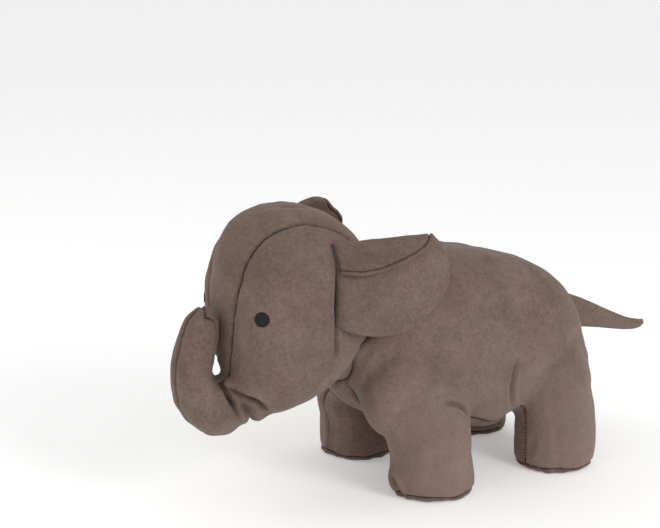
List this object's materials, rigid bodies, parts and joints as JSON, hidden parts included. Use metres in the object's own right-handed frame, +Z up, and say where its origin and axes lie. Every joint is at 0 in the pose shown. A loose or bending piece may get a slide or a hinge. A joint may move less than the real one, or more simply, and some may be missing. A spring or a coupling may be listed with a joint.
{
  "type": "stuffed elephant",
  "caption": "Standing stuffed elephant in brown suede-like fabric with a nodding head, curled trunk, folded ears and flat tail.",
  "frame": {"origin": "on the ground, in the middle of the whole object's bounding box seen from above", "axes": "+X from the tail toward the trunk, +Y toward the elephant's left side, +Z up"},
  "size_m": [0.4049, 0.1532, 0.1976],
  "materials": {
    "suede": "brown mottled faux suede, short nap",
    "sole_suede": "brown mottled faux suede, short nap",
    "ear_lining": "brown mottled faux suede, short nap",
    "stuffing": "white polyester wadding",
    "eye_thread": "near-black satin-stitched thread"
  },
  "bodies": {
    "torso": {"torso_side_left": "suede", "torso_side_right": "suede", "belly_gusset": "suede", "sole_front_left": "sole_suede", "sole_front_right": "sole_suede", "sole_hind_left": "sole_suede", "sole_hind_right": "sole_suede", "torso_stuffing": "stuffing", "leg_stuffing_front_left": "stuffing", "leg_stuffing_front_right": "stuffing", "leg_stuffing_hind_left": "stuffing", "leg_stuffing_hind_right": "stuffing"},
    "head": {"head_side_left": "suede", "head_side_right": "suede", "head_gusset": "suede", "head_stuffing": "stuffing", "eye_left": "eye_thread", "eye_right": "eye_thread"},
    "trunk": {"trunk_side_left": "suede", "trunk_side_right": "suede", "trunk_gusset": "suede", "trunk_stuffing": "stuffing"},
    "ear_left": {"ear_left_outer": "suede", "ear_left_lining": "ear_lining"},
    "ear_right": {"ear_right_outer": "suede", "ear_right_lining": "ear_lining"},
    "tail": {"tail_side_left": "suede", "tail_side_right": "suede", "tail_stuffing": "stuffing"}
  },
  "joints": [
    {"name": "head_nod", "type": "hinge", "parent": "torso", "child": "head", "pos_m": [0.0857, 0, 0.117], "axis": [0, 1, 0], "range_deg": [-8, 8], "stiffness_Nm_per_rad": 2},
    {"name": "trunk_flex", "type": "hinge", "parent": "head", "child": "trunk", "pos_m": [0.1587, 0, 0.073], "axis": [0, 1, 0], "range_deg": [0, 20], "stiffness_Nm_per_rad": 0.4},
    {"name": "ear_left_flap", "type": "hinge", "parent": "head", "child": "ear_left", "pos_m": [0.1137, 0.0562, 0.127], "axis": [0.0757, 0.2461, -0.9663], "range_deg": [0, 45], "stiffness_Nm_per_rad": 0.03},
    {"name": "ear_right_flap", "type": "hinge", "parent": "head", "child": "ear_right", "pos_m": [0.1137, -0.0562, 0.127], "axis": [-0.0757, 0.2461, 0.9663], "range_deg": [0, 45], "stiffness_Nm_per_rad": 0.03},
    {"name": "tail_wag", "type": "hinge", "parent": "torso", "child": "tail", "pos_m": [-0.1191, 0, 0.099], "axis": [0.2588, 0, 0.9659], "range_deg": [-40, 40], "stiffness_Nm_per_rad": 0.05}
  ]
}
